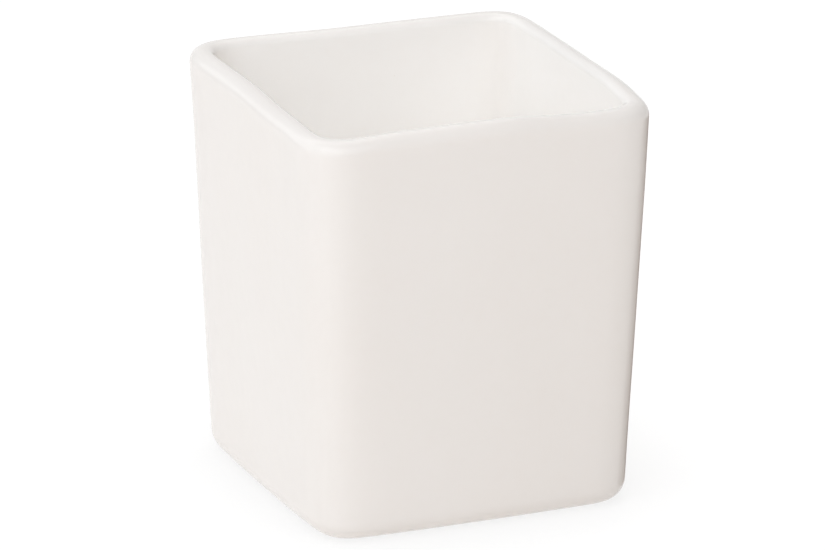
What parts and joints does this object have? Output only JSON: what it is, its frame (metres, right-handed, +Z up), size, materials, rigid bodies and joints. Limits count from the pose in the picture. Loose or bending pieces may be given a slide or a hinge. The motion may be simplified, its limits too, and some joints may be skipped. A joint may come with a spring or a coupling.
{
  "type": "pen holder cup",
  "caption": "Square tapered desk cup with rounded corners, a rolled-over soft lip and an open top, for pens and pencils.",
  "frame": {"origin": "under the middle of the cup, at the level of the table that it stands on", "axes": "+Z up out of the open top; the four faces look along +X, -X, +Y and -Y"},
  "size_m": [0.0798, 0.0798, 0.0905],
  "materials": {
    "white_glaze": "smooth warm white gloss glaze"
  },
  "bodies": {
    "root": {"cup_body": "white_glaze"}
  },
  "joints": []
}
